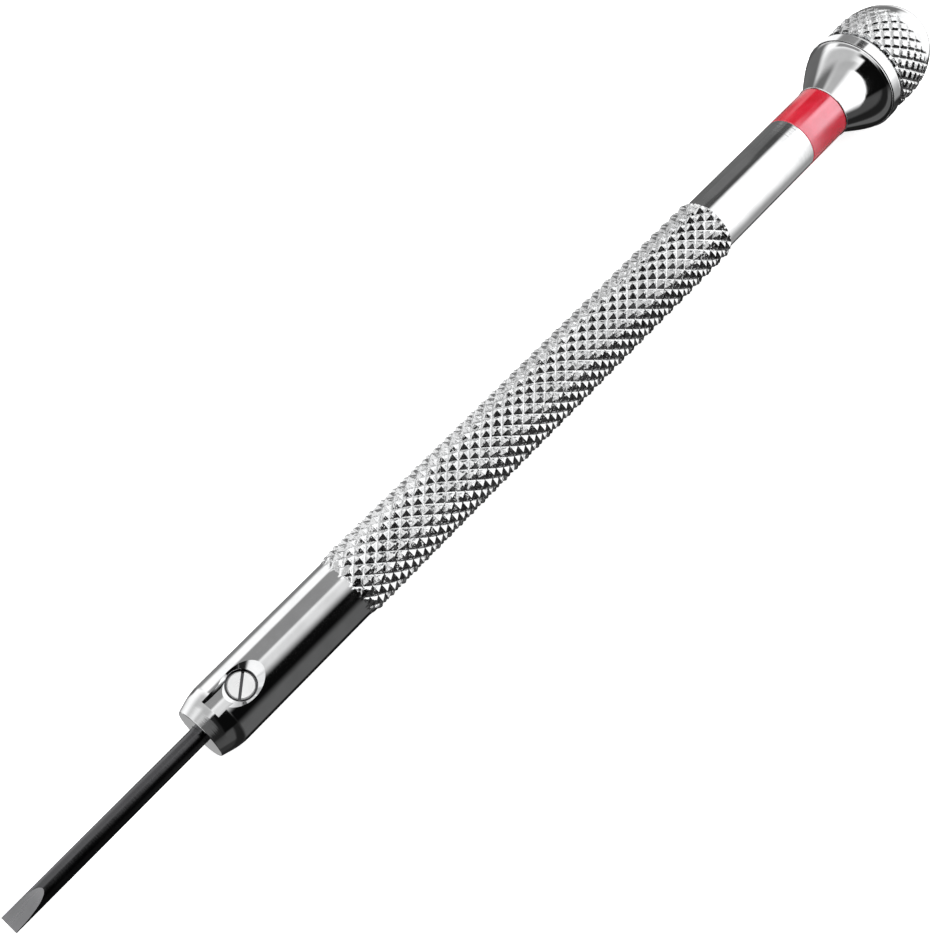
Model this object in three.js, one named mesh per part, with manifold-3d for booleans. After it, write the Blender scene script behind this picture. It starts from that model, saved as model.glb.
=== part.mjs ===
// A watchmaker's screwdriver: a slender chromed handle with a knurled grip, a clamped blade,
// a coloured size ring and a finger cap that swivels on a small ball bearing.
//
// Millimetres. The tool's axis is X, with the middle of the blade's end face at the origin and
// the finger cap at the far end. The set screw faces +Z.

import * as THREE from 'three';
import { mergeVertices } from 'three/addons/utils/BufferGeometryUtils.js';
import Module from 'manifold-3d';

const wasm = await Module();
wasm.setup();

// Running and seating clearance between a piece and the one it sits in or on.
const CLEARANCE = 0.02;

// Blade
const BLADE_RADIUS = 0.6;
const BLADE_LENGTH = 24.5;
const BLADE_GRIND = 2.55;
const BLADE_EDGE = 0.22;
const BLADE_CHAMFER = 0.12;

// Handle
const NOSE_FACE = 14.4;
const NOSE_FACE_RADIUS = 1.75;
const NOSE_CHAMFER = 1.25;
const NOSE_RADIUS = 2.125;
const BORE_END = 25;
const GRIP_START = 26.5;
const GRIP_END = 62.4;
const GRIP_CREST = 2.325;
const GRIP_COLLAR = 2.18;
const NECK_RADIUS = 2.05;
const NECK_END = 72.1;

// Knurl: the spacing of its pyramids along the axis, their height, and how many go round
const KNURL_PITCH = 1.045;
const KNURL_DEPTH = 0.34;
const GRIP_PYRAMIDS = 15;
const CAP_PYRAMIDS = 24;

// Set screw and its pocket in the nose
const SCREW_X = 17.75;
const SCREW_RADIUS = 0.86;
const SCREW_TOP = 1.7;
const SCREW_EDGE = 0.07;
const SCREW_POINT = 0.3;
const SLOT_WIDTH = 0.3;
const SLOT_DEPTH = 0.4;
const SLOT_ANGLE = 38;
const RELIEF_RADIUS = 1;
const RELIEF_FLOOR = 1.45;
const POCKET_HALF_LENGTH = 1.62;
const POCKET_HALF_ANGLE = 59;
const NOTCH_FRONT = 15.5;
const NOTCH_WIDTH = 1.36;
const NOTCH_OFFSET = 0.22;
const NOTCH_FLOOR = 1.8;

// Bell and the threaded stud that holds it in the neck
const STUD_RADIUS = 1.1;
const STUD_LENGTH = 4.6;
const RING_SEAT_RADIUS = 1.5;
const BELL_START = 76;
const BELL_COVE = 0.2;
const BELL_FLARE_ANGLE = 27.5;
const BELL_SHOULDER_RADIUS = 1.94;
const BELL_SHOULDER_END = 79.5;
const BELL_BODY_RADIUS = 3.62;
const BELL_RIM_RADIUS = 3.66;
const BELL_RIM_ROUND = 0.22;
const BELL_END = 80.65;
const BELL_POCKET_START = 76.9;
const BELL_POCKET_RADIUS = 1.36;

// Ball bearing
const BEARING_START = 78.3;
const BEARING_WIDTH = 2.3;
const BEARING_OUTER_RADIUS = 2.5;
const OUTER_LAND_RADIUS = 2.08;
const INNER_LAND_RADIUS = 1.42;
const BEARING_BORE_RADIUS = 1;
const PITCH_RADIUS = 1.75;
const GROOVE_RADIUS = 0.41;
const BALL_RADIUS = 0.39;
const BALL_COUNT = 8;
const CAGE_INNER_RADIUS = 1.51;
const CAGE_OUTER_RADIUS = 1.99;
const CAGE_FRONT = 0.2;
const CAGE_BACK = 0.62;
const POCKET_CLEARANCE = 0.03;
const SHIELD_RECESS = 0.06;
const SHIELD_THICKNESS = 0.12;
const SHIELD_OUTER_RADIUS = 2.2;
const SHIELD_INNER_RADIUS = 1.5;

// Swivel cap
const STEM_RADIUS = 0.98;
const STEM_START = 78.5;
const STEM_HOLE_RADIUS = 0.5;
const STEM_HOLE_END = 80.5;
const CAP_BOSS_RADIUS = 1.36;
const CAP_FRONT = 80.85;
const CAP_FRONT_RADIUS = 3.3;
const CAP_KNURL_START = 81.05;
const CAP_KNURL_ROWS = 6;
const CAP_WIDEST = 82.6;
const CAP_RADIUS = 3.64;
const CAP_FRONT_HALF_LENGTH = 8.6;
const CAP_REAR_HALF_LENGTH = 4.5;

// Retaining screw and washer
const WASHER_THICKNESS = 0.3;
const WASHER_RADIUS = 1.25;
const RETAINER_RADIUS = 0.47;
const RETAINER_LENGTH = 2.2;
const RETAINER_HEAD_RADIUS = 0.95;
const RETAINER_HEAD_HEIGHT = 0.5;

const HANDLE_SIDES = 2 * GRIP_PYRAMIDS;
const CAP_SIDES = 2 * CAP_PYRAMIDS;
const BEARING_SIDES = 32;
const SMALL_SIDES = 24;

const chrome = { color: 0xd8dadd, roughness: 0.08, metalness: 1 };
const blackOxide = { color: 0x16171a, roughness: 0.35, metalness: 1 };
const steel = { color: 0xb9bcc0, roughness: 0.2, metalness: 1 };
const brass = { color: 0xb8923f, roughness: 0.3, metalness: 1 };
const redPlastic = { color: 0xc8202c, roughness: 0.15, metalness: 0 };

const radians = THREE.MathUtils.degToRad;

// A solid of revolution about X from its outline, a list of [x, radius]. It is turned half a
// side, so that a flat and not a corner faces +Z and -Z.
function turned(outline, sides) {
  const points = outline.map(([x, radius]) => new THREE.Vector2(radius, x));
  const geometry = new THREE.LatheGeometry(points, sides, Math.PI / sides);
  return geometry.rotateZ(-Math.PI / 2);
}

// The same with a knurl. A point's third value lowers every second corner of its ring, one corner
// further round on each ring than on the last, so that four-sided pyramids stand between them.
function knurled(outline, sides) {
  const geometry = turned(outline, sides);
  const position = geometry.attributes.position;
  const rows = outline.length;
  const faces = [];
  for (let side = 0; side <= sides; side += 1) {
    for (let row = 0; row < rows; row += 1) {
      const odd = (side + row) % 2 === 1;
      const [, radius, depth = 0] = outline[row];
      const corner = side * rows + row;
      if (odd && depth > 0) {
        const scale = 1 - depth / radius;
        position.setY(corner, position.getY(corner) * scale);
        position.setZ(corner, position.getZ(corner) * scale);
      }
      if (side < sides && row < rows - 1) {
        faces.push(...splitCell(corner, corner + rows, corner + rows + 1, corner + 1, odd));
      }
    }
  }
  geometry.setIndex(faces);
  return geometry;
}

// Two triangles for the cell a, b, c, d, which is split from a to c or from b to d.
function splitCell(a, b, c, d, fromA) {
  return fromA ? [a, b, c, a, c, d] : [a, b, d, c, d, b];
}

// Points on an arc about [x, radius], by angle in degrees from +X towards the radius.
function arc(x, radius, size, from, to, steps) {
  return Array.from({ length: steps + 1 }, (_, step) => {
    const angle = radians(from + ((to - from) * step) / steps);
    return [x + size * Math.cos(angle), radius + size * Math.sin(angle)];
  });
}

// A ring with a rectangular section about X.
function washer(start, end, inner, outer, sides) {
  return turned([[start, inner], [start, outer], [end, outer], [end, inner], [start, inner]], sides);
}

// A manifold-3d solid from a closed three.js geometry.
function solid(geometry) {
  const bare = geometry.clone();
  bare.deleteAttribute('normal');
  bare.deleteAttribute('uv');
  const merged = mergeVertices(bare, 1e-5);
  const triangles = [];
  const index = merged.index.array;
  for (let i = 0; i < index.length; i += 3) {
    const [a, b, c] = index.slice(i, i + 3);
    if (a !== b && b !== c && c !== a) triangles.push(a, b, c);
  }
  return new wasm.Manifold(new wasm.Mesh({
    numProp: 3,
    vertProperties: new Float32Array(merged.attributes.position.array),
    triVerts: new Uint32Array(triangles),
  }));
}

// A three.js geometry from a manifold-3d solid.
function geometryOf(manifold) {
  const mesh = manifold.getMesh();
  const geometry = new THREE.BufferGeometry();
  geometry.setAttribute('position', new THREE.BufferAttribute(mesh.vertProperties, 3));
  geometry.setIndex(new THREE.BufferAttribute(mesh.triVerts, 1));
  geometry.computeVertexNormals();
  return geometry;
}

function cut(geometry, ...cutters) {
  return geometryOf(cutters.reduce((rest, cutter) => rest.subtract(solid(cutter)), solid(geometry)));
}

// Cutters that stand on Z over the set screw.
function uprightCone(low, high, lowRadius, highRadius) {
  const cone = new THREE.CylinderGeometry(highRadius, lowRadius, high - low, SMALL_SIDES);
  return cone.rotateX(Math.PI / 2).translate(SCREW_X, 0, (low + high) / 2);
}

function blade() {
  const wire = turned([
    [0, 0],
    [0, BLADE_RADIUS],
    [BLADE_LENGTH - BLADE_CHAMFER, BLADE_RADIUS],
    [BLADE_LENGTH, BLADE_RADIUS - BLADE_CHAMFER],
    [BLADE_LENGTH, 0],
  ], HANDLE_SIDES);
  return cut(wire, grindstone(1), grindstone(-1));
}

// What the grinding of one blade flat takes away, above (side 1) or below (side -1) the blade.
function grindstone(side) {
  const overshoot = 0.5;
  const slope = (BLADE_RADIUS - BLADE_EDGE / 2) / BLADE_GRIND;
  const outline = new THREE.Shape();
  outline.moveTo(-overshoot, BLADE_EDGE / 2 - slope * overshoot);
  outline.lineTo(BLADE_GRIND + overshoot, BLADE_RADIUS + slope * overshoot);
  outline.lineTo(-overshoot, BLADE_RADIUS + slope * overshoot);
  const width = 4 * BLADE_RADIUS;
  const block = new THREE.ExtrudeGeometry(outline, { depth: width, bevelEnabled: false });
  block.rotateX(Math.PI / 2).translate(0, width / 2, 0);
  return side > 0 ? block : block.rotateX(Math.PI);
}

// The rings of the grip's knurl, which rises out of the nose over its first rows.
function gripRows() {
  const risingRows = 3;
  const rowSpacing = KNURL_PITCH / 2;
  const count = Math.floor((GRIP_END - GRIP_START) / rowSpacing);
  return Array.from({ length: count }, (_, row) => {
    const rise = Math.min(1, row / risingRows);
    const crest = NOSE_RADIUS + (GRIP_CREST - NOSE_RADIUS) * rise;
    return [GRIP_START + row * rowSpacing, crest, KNURL_DEPTH * rise];
  });
}

function handleBody() {
  const boreRadius = BLADE_RADIUS + CLEARANCE;
  const studBore = STUD_RADIUS + CLEARANCE;
  const studBoreEnd = NECK_END - STUD_LENGTH - 0.6;
  const bar = knurled([
    [BORE_END, 0],
    [BORE_END, boreRadius],
    [NOSE_FACE, boreRadius],
    [NOSE_FACE, NOSE_FACE_RADIUS],
    [NOSE_FACE + NOSE_CHAMFER, NOSE_RADIUS],
    ...gripRows(),
    [GRIP_END - 0.1, GRIP_COLLAR],
    [GRIP_END, NECK_RADIUS],
    [NECK_END, NECK_RADIUS],
    [NECK_END, studBore],
    [studBoreEnd, studBore],
    [studBoreEnd, 0],
  ], HANDLE_SIDES);
  return cut(bar, ...screwPocket());
}

// The threaded hole with its relief and its conical pocket, and the notch in front of them.
function screwPocket() {
  const above = NOSE_RADIUS + 0.5;
  const slope = Math.tan(radians(POCKET_HALF_ANGLE));
  const coneRadius = (height) => POCKET_HALF_LENGTH - (NOSE_RADIUS - height) * slope;
  const coneFloor = NOSE_RADIUS - (POCKET_HALF_LENGTH - RELIEF_RADIUS) / slope;
  const thread = uprightCone(0, above, SCREW_RADIUS + CLEARANCE, SCREW_RADIUS + CLEARANCE);
  const relief = uprightCone(RELIEF_FLOOR, above, RELIEF_RADIUS, RELIEF_RADIUS);
  const cone = uprightCone(coneFloor, above, RELIEF_RADIUS, coneRadius(above));
  const notchLength = SCREW_X - NOTCH_FRONT;
  const notch = new THREE.BoxGeometry(notchLength, NOTCH_WIDTH, above - NOTCH_FLOOR);
  notch.translate(NOTCH_FRONT + notchLength / 2, NOTCH_OFFSET, (above + NOTCH_FLOOR) / 2);
  return [thread, relief, cone, notch];
}

function setScrew() {
  const bottom = BLADE_RADIUS + CLEARANCE;
  const body = turned([
    [bottom, 0],
    [bottom, SCREW_RADIUS - SCREW_POINT],
    [bottom + SCREW_POINT, SCREW_RADIUS],
    [SCREW_TOP - SCREW_EDGE, SCREW_RADIUS],
    [SCREW_TOP, SCREW_RADIUS - SCREW_EDGE],
    [SCREW_TOP, 0],
  ], SMALL_SIDES);
  body.rotateY(-Math.PI / 2).translate(SCREW_X, 0, 0);
  const slot = new THREE.BoxGeometry(4 * SCREW_RADIUS, SLOT_WIDTH, 2 * SLOT_DEPTH);
  slot.rotateZ(radians(SLOT_ANGLE)).translate(SCREW_X, 0, SCREW_TOP);
  return cut(body, slot);
}

function colourRing() {
  const start = NECK_END + CLEARANCE;
  const end = BELL_START - CLEARANCE;
  return washer(start, end, RING_SEAT_RADIUS + CLEARANCE, NECK_RADIUS, HANDLE_SIDES);
}

// The bell's outside, from the face behind the colour ring to the rim's rear face.
function bellOutside() {
  const shoulderX = BELL_SHOULDER_END;
  const shoulderCentre = BELL_BODY_RADIUS - BELL_SHOULDER_RADIUS;
  const steps = 4;
  const shoulder = arc(
    shoulderX, shoulderCentre, BELL_SHOULDER_RADIUS, 90 + BELL_FLARE_ANGLE, 90, steps,
  );
  const [flareX, flareRadius] = shoulder[0];
  const coveX = BELL_START + BELL_COVE;
  const coveRadius = flareRadius - (flareX - coveX) * Math.tan(radians(BELL_FLARE_ANGLE));
  const rimCentre = BELL_RIM_RADIUS - BELL_RIM_ROUND;
  return [
    [BELL_START, NECK_RADIUS],
    [coveX, coveRadius],
    ...shoulder,
    [shoulderX + 0.1, BELL_RIM_RADIUS],
    ...arc(BELL_END - BELL_RIM_ROUND, rimCentre, BELL_RIM_ROUND, 90, 0, 2),
  ];
}

function bellHousing() {
  const studStart = NECK_END - STUD_LENGTH;
  const seatRadius = BEARING_OUTER_RADIUS + 1.5 * CLEARANCE;
  const seatFloor = BEARING_START - CLEARANCE;
  const ringSeatStart = NECK_END + CLEARANCE;
  return turned([
    [studStart, 0],
    [studStart, STUD_RADIUS - 0.15],
    [studStart + 0.15, STUD_RADIUS],
    [ringSeatStart, STUD_RADIUS],
    [ringSeatStart, RING_SEAT_RADIUS],
    [BELL_START, RING_SEAT_RADIUS],
    ...bellOutside(),
    [BELL_END, seatRadius],
    [seatFloor, seatRadius],
    [seatFloor, BELL_POCKET_RADIUS],
    [BELL_POCKET_START, BELL_POCKET_RADIUS],
    [BELL_POCKET_START, 0],
  ], HANDLE_SIDES);
}

const bearingMiddle = BEARING_START + BEARING_WIDTH / 2;
const bearingEnd = BEARING_START + BEARING_WIDTH;

// The raceway's groove as an outline, from the bearing's rear to its front, where it leaves a land
// of this radius. side is 1 for the outer ring's groove and -1 for the inner ring's.
function groove(landRadius, side) {
  const reach = Math.abs(landRadius - PITCH_RADIUS);
  const open = THREE.MathUtils.radToDeg(Math.acos(reach / GROOVE_RADIUS));
  return arc(bearingMiddle, PITCH_RADIUS, GROOVE_RADIUS, side * (90 - open), side * (90 + open), 6);
}

function bearingOuterRing() {
  const recess = SHIELD_RECESS + SHIELD_THICKNESS + CLEARANCE;
  const recessRadius = SHIELD_OUTER_RADIUS + 1.5 * CLEARANCE;
  return turned([
    [BEARING_START, recessRadius],
    [BEARING_START, BEARING_OUTER_RADIUS],
    [bearingEnd, BEARING_OUTER_RADIUS],
    [bearingEnd, recessRadius],
    [bearingEnd - recess, recessRadius],
    [bearingEnd - recess, OUTER_LAND_RADIUS],
    ...groove(OUTER_LAND_RADIUS, 1),
    [BEARING_START + recess, OUTER_LAND_RADIUS],
    [BEARING_START + recess, recessRadius],
    [BEARING_START, recessRadius],
  ], BEARING_SIDES);
}

function bearingInnerRing() {
  return turned([
    [BEARING_START, BEARING_BORE_RADIUS],
    [BEARING_START, INNER_LAND_RADIUS],
    ...groove(INNER_LAND_RADIUS, -1).reverse(),
    [bearingEnd, INNER_LAND_RADIUS],
    [bearingEnd, BEARING_BORE_RADIUS],
    [BEARING_START, BEARING_BORE_RADIUS],
  ], BEARING_SIDES);
}

// A ball, or with a larger radius the pocket that it runs in.
function bearingBall(number, radius, sides) {
  const angle = (2 * Math.PI * number) / BALL_COUNT;
  const sphere = new THREE.SphereGeometry(radius, sides, sides / 2);
  const y = PITCH_RADIUS * Math.cos(angle);
  const z = PITCH_RADIUS * Math.sin(angle);
  return sphere.translate(bearingMiddle, y, z);
}

// A crown cage: a ring behind the balls, with fingers that reach forward between them.
function ballCage() {
  const front = bearingMiddle - CAGE_FRONT;
  const back = bearingMiddle + CAGE_BACK;
  const ring = washer(front, back, CAGE_INNER_RADIUS, CAGE_OUTER_RADIUS, BEARING_SIDES);
  const pocketSides = 12;
  const pocketRadius = (BALL_RADIUS + POCKET_CLEARANCE) / Math.cos(Math.PI / pocketSides);
  const pockets = ballNumbers.map((number) => bearingBall(number, pocketRadius, pocketSides));
  return cut(ring, ...pockets);
}

function bearingShield(outerFace, inwards) {
  const near = outerFace + inwards * SHIELD_RECESS;
  const far = near + inwards * SHIELD_THICKNESS;
  const [start, end] = [near, far].sort((a, b) => a - b);
  return washer(start, end, SHIELD_INNER_RADIUS, SHIELD_OUTER_RADIUS, BEARING_SIDES);
}

// The cap's outer radius at a place along the axis: half an ellipse in front of its widest place
// and a shorter half behind it.
function capRadius(x) {
  const halfLength = x < CAP_WIDEST ? CAP_FRONT_HALF_LENGTH : CAP_REAR_HALF_LENGTH;
  return CAP_RADIUS * Math.sqrt(1 - ((x - CAP_WIDEST) / halfLength) ** 2);
}

// The rings of the cap's knurl, which fades over its last rows.
function capRows() {
  const fadingRows = 2;
  return Array.from({ length: CAP_KNURL_ROWS + 1 }, (_, row) => {
    const x = CAP_KNURL_START + (row * KNURL_PITCH) / 2;
    const fade = Math.min(1, (CAP_KNURL_ROWS - row) / fadingRows);
    return [x, capRadius(x), KNURL_DEPTH * fade];
  });
}

// The smooth end behind the knurl.
function capDome() {
  const knurlEnd = CAP_KNURL_START + (CAP_KNURL_ROWS * KNURL_PITCH) / 2;
  const first = Math.asin((knurlEnd - CAP_WIDEST) / CAP_REAR_HALF_LENGTH);
  const steps = 6;
  return Array.from({ length: steps }, (_, step) => {
    const angle = first + ((Math.PI / 2 - first) * (step + 1)) / steps;
    const x = CAP_WIDEST + CAP_REAR_HALF_LENGTH * Math.sin(angle);
    return [x, step === steps - 1 ? 0 : CAP_RADIUS * Math.cos(angle)];
  });
}

function swivelCap() {
  const bossFace = bearingEnd + CLEARANCE;
  return knurled([
    [STEM_HOLE_END, 0],
    [STEM_HOLE_END, STEM_HOLE_RADIUS],
    [STEM_START, STEM_HOLE_RADIUS],
    [STEM_START, STEM_RADIUS],
    [bossFace, STEM_RADIUS],
    [bossFace, CAP_BOSS_RADIUS],
    [CAP_FRONT, CAP_BOSS_RADIUS],
    [CAP_FRONT, CAP_FRONT_RADIUS],
    ...capRows(),
    ...capDome(),
  ], CAP_SIDES);
}

const washerBack = BEARING_START - CLEARANCE;
const washerFront = washerBack - WASHER_THICKNESS;

function retainingWasher() {
  const hole = RETAINER_RADIUS + 1.5 * CLEARANCE;
  return washer(washerFront, washerBack, hole, WASHER_RADIUS, SMALL_SIDES);
}

function retainingScrew() {
  const headBack = washerFront - CLEARANCE;
  const headFront = headBack - RETAINER_HEAD_HEIGHT;
  const shankEnd = headBack + RETAINER_LENGTH;
  const body = turned([
    [headFront, 0],
    [headFront, RETAINER_HEAD_RADIUS],
    [headBack, RETAINER_HEAD_RADIUS],
    [headBack, RETAINER_RADIUS],
    [shankEnd, RETAINER_RADIUS],
    [shankEnd, 0],
  ], SMALL_SIDES);
  const slot = new THREE.BoxGeometry(RETAINER_HEAD_HEIGHT, 4 * RETAINER_HEAD_RADIUS, SLOT_WIDTH);
  return cut(body, slot.translate(headFront, 0, 0));
}

const tool = new THREE.Group();
const ballNumbers = Array.from({ length: BALL_COUNT }, (_, number) => number);

function add(name, geometry, finish) {
  const mesh = new THREE.Mesh(geometry, new THREE.MeshStandardMaterial(finish));
  mesh.name = name;
  tool.add(mesh);
}

add('blade', blade(), blackOxide);
add('handle_body', handleBody(), chrome);
add('set_screw', setScrew(), steel);
add('colour_ring', colourRing(), redPlastic);
add('bell_housing', bellHousing(), chrome);
add('bearing_outer_ring', bearingOuterRing(), steel);
add('bearing_inner_ring', bearingInnerRing(), steel);
ballNumbers.forEach((number) => {
  add(`bearing_ball_${number + 1}`, bearingBall(number, BALL_RADIUS, 12), steel);
});
add('ball_cage', ballCage(), brass);
add('bearing_front_shield', bearingShield(BEARING_START, 1), steel);
add('bearing_rear_shield', bearingShield(bearingEnd, -1), steel);
add('swivel_cap', swivelCap(), chrome);
add('retaining_washer', retainingWasher(), steel);
add('retaining_screw', retainingScrew(), steel);

export default tool;
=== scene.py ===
"""Looks for a watchmaker's screwdriver: chromed handle with a real knurl, clamped black blade,
red size ring and a knurled finger cap on a small ball bearing.

Metres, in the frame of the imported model: the tool's axis is X, from the blade's end face at the
origin to the finger cap, and the set screw faces +Z.
"""
import math

import bpy
import numpy as np
from mathutils import Matrix, Vector


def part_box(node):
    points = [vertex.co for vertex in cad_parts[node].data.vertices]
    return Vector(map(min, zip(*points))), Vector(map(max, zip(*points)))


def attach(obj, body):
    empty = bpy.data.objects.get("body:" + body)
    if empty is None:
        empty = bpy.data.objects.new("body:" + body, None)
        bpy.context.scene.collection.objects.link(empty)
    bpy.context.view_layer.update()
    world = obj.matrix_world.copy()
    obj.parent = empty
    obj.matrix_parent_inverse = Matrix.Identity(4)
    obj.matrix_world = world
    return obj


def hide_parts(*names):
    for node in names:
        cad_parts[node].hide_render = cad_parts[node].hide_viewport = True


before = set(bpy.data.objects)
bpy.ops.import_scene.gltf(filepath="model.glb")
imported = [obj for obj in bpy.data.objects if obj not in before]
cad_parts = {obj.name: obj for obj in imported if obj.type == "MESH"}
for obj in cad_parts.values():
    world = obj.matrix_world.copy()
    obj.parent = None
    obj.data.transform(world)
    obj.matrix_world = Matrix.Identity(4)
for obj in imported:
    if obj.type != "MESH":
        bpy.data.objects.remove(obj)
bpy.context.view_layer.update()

MM = 0.001

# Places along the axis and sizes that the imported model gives
BLADE_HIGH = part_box("blade")[1]
HANDLE_LOW, HANDLE_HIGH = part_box("handle_body")
RING_LOW, RING_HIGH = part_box("colour_ring")
BELL_LOW, BELL_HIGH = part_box("bell_housing")
CAP_LOW, CAP_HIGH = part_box("swivel_cap")
SCREW_LOW, SCREW_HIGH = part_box("set_screw")
BEARING_LOW, BEARING_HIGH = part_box("bearing_outer_ring")

# Blade
BLADE_RADIUS = 0.6 * MM
BLADE_END = BLADE_HIGH.x
GRIND_LENGTH = 2.55 * MM
EDGE_HALF = 0.11 * MM
WHEEL_RADIUS = 13 * MM

# Handle
NOSE_FACE = HANDLE_LOW.x
NOSE_FACE_RADIUS = 1.75 * MM
NOSE_CHAMFER = 1.25 * MM
NOSE_RADIUS = 2.125 * MM
BORE_RADIUS = 0.63 * MM
BORE_END = 25 * MM
GRIP_START = 26.4 * MM
GRIP_END = 62.4 * MM
GRIP_CREST = 2.32 * MM
NECK_RADIUS = RING_HIGH.z
NECK_END = HANDLE_HIGH.x
STUD_BORE_RADIUS = 1.12 * MM
STUD_BORE_END = 66.9 * MM

# Knurl: heights are counted in full, sharp pyramids, from 0 in a sharp valley to 1 on a sharp peak
KNURL_PITCH = 1.047 * MM
KNURL_DEPTH = 0.337 * MM
KNURL_TOP = 0.89
KNURL_FLOOR = 0.06
KNURL_LEAD = 0.06
GRIP_PYRAMIDS = 15
GRIP_PHASE = 0.07
GRIP_TWIST = 0.0046 / MM
CAP_PYRAMIDS = 24
CAP_PRESS = 0.43
STEPS = 8

# Pocket of the set screw
SCREW_X = (SCREW_LOW.x + SCREW_HIGH.x) / 2
SCREW_RADIUS = (SCREW_HIGH.x - SCREW_LOW.x) / 2
SCREW_TOP = SCREW_HIGH.z
SCREW_BOTTOM = SCREW_LOW.z
SLOT_WIDTH = 0.18 * MM
SLOT_DEPTH = 0.4 * MM
SLOT_ANGLE = math.radians(38)
RELIEF_RADIUS = 0.96 * MM
RELIEF_FLOOR = 1.45 * MM
POCKET_HALF_LENGTH = 1.62 * MM
POCKET_HALF_ANGLE = math.radians(59)
NOTCH_FRONT = 15.5 * MM
NOTCH_WIDTH = 1.36 * MM
NOTCH_OFFSET = 0.22 * MM
NOTCH_FLOOR = 1.9 * MM

# Bell
BELL_START = RING_HIGH.x + 0.02 * MM
BELL_END = BELL_HIGH.x
STUD_START = BELL_LOW.x
STUD_RADIUS = 1.1 * MM
RING_SEAT_START = NECK_END + 0.02 * MM
RING_SEAT_RADIUS = 1.5 * MM
BELL_FLARE_SLOPE = 0.62
BELL_SHOULDER_ROUND = 0.5 * MM
BELL_SHOULDER_END = 79.5 * MM
BELL_BODY_RADIUS = 3.62 * MM
BELL_FOOT_LAND = 0.24 * MM
BELL_FOOT_RADIUS = 2.12 * MM
BELL_RIM_RADIUS = BELL_HIGH.y
BELL_SEAT_RADIUS = 2.53 * MM
BELL_SEAT_FLOOR = BEARING_LOW.x - 0.02 * MM
BELL_POCKET_RADIUS = 1.36 * MM
BELL_POCKET_START = 76.9 * MM

# Finger cap
STEM_START = CAP_LOW.x
STEM_RADIUS = 0.98 * MM
STEM_HOLE_RADIUS = 0.5 * MM
STEM_HOLE_END = 80.5 * MM
BOSS_FACE = BEARING_HIGH.x + 0.02 * MM
BOSS_RADIUS = 1.36 * MM
CAP_FRONT = 80.85 * MM
CAP_FRONT_RADIUS = 3.3 * MM
CAP_WIDEST = 82.6 * MM
CAP_RADIUS = 3.63 * MM
CAP_FRONT_HALF_LENGTH = 8.6 * MM
CAP_REAR_HALF_LENGTH = CAP_HIGH.x - CAP_WIDEST
CAP_KNURL_END = 84.3 * MM

# Bearing
PITCH_RADIUS = 1.75 * MM
GROOVE_RADIUS = 0.41 * MM
BALL_RADIUS = 0.39 * MM
BALL_COUNT = 8
BEARING_MIDDLE = (BEARING_LOW.x + BEARING_HIGH.x) / 2

# View
VIEW_TILT = math.radians(21.5)
VIEW_ROLL = math.radians(45)
VIEW_SIDE = math.radians(11.2)
VIEW_AIM = 37.65 * MM
VIEW_DISTANCE = 101.9 * MM
VIEW_LENS = 62.76

# Soft lamp: where it hangs, how wide it is, and its power in watts
LAMP_PLACE = (0.0, 0.12, 0.45)
LAMP_WIDTH = 0.5
LAMP_POWER = 1.6


# ---------------------------------------------------------------- outlines

def rounded(points, steps=4):
    """An outline of (x, radius) whose corners with a third value are rounded to that radius."""
    result = []
    for index, point in enumerate(points):
        if len(point) < 3 or index in (0, len(points) - 1):
            result.append(point[:2])
            continue
        corner = np.array(point[:2])
        back = np.array(points[index - 1][:2]) - corner
        ahead = np.array(points[index + 1][:2]) - corner
        result += corner_arc(corner, back, ahead, point[2], steps)
    return result


def corner_arc(corner, back, ahead, radius, steps):
    """Points of the arc that rounds the corner between the directions back and ahead, and a point
    just past each end of it, so that smooth shading stays flat beyond the arc."""
    back_length, ahead_length = np.linalg.norm(back), np.linalg.norm(ahead)
    back, ahead = back / back_length, ahead / ahead_length
    half = math.acos(float(np.clip(back @ ahead, -1, 1))) / 2
    if half > math.radians(89.5):
        return [tuple(corner)]
    reach = min(radius / math.tan(half), 0.48 * back_length, 0.48 * ahead_length)
    size = reach * math.tan(half)
    middle = (back + ahead) / np.linalg.norm(back + ahead)
    centre = corner + middle * size / math.sin(half)
    start, end = corner + back * reach - centre, corner + ahead * reach - centre
    total = math.acos(float(np.clip(start @ end / size ** 2, -1, 1)))
    turn = math.copysign(total, start[0] * end[1] - start[1] * end[0])
    angles = [turn * step / steps for step in range(steps + 1)]
    turned_points = [
        tuple(centre + (
            start[0] * math.cos(a) - start[1] * math.sin(a),
            start[0] * math.sin(a) + start[1] * math.cos(a),
        ))
        for a in angles
    ]
    beyond = 1.04 * reach
    return [tuple(corner + back * beyond), *turned_points, tuple(corner + ahead * beyond)]


def arc(x, radius, size, start, end, steps):
    """Points on an arc about (x, radius), by angle in degrees from +X towards the radius."""
    angles = np.radians(np.linspace(start, end, steps + 1))
    return [(x + size * math.cos(a), radius + size * math.sin(a)) for a in angles]


def spaced(start, end, count):
    """Points between two places of an outline, without the ends."""
    parts = [(step + 1) / (count + 1) for step in range(count)]
    return [tuple(np.array(start) * (1 - p) + np.array(end) * p) for p in parts]


# ---------------------------------------------------------------- meshes

def new_object(name, vertices, faces):
    mesh = bpy.data.meshes.new(name)
    mesh.from_pydata(vertices, [], faces)
    mesh.validate()
    made = bpy.data.objects.new(name, mesh)
    bpy.context.scene.collection.objects.link(made)
    return made


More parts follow.
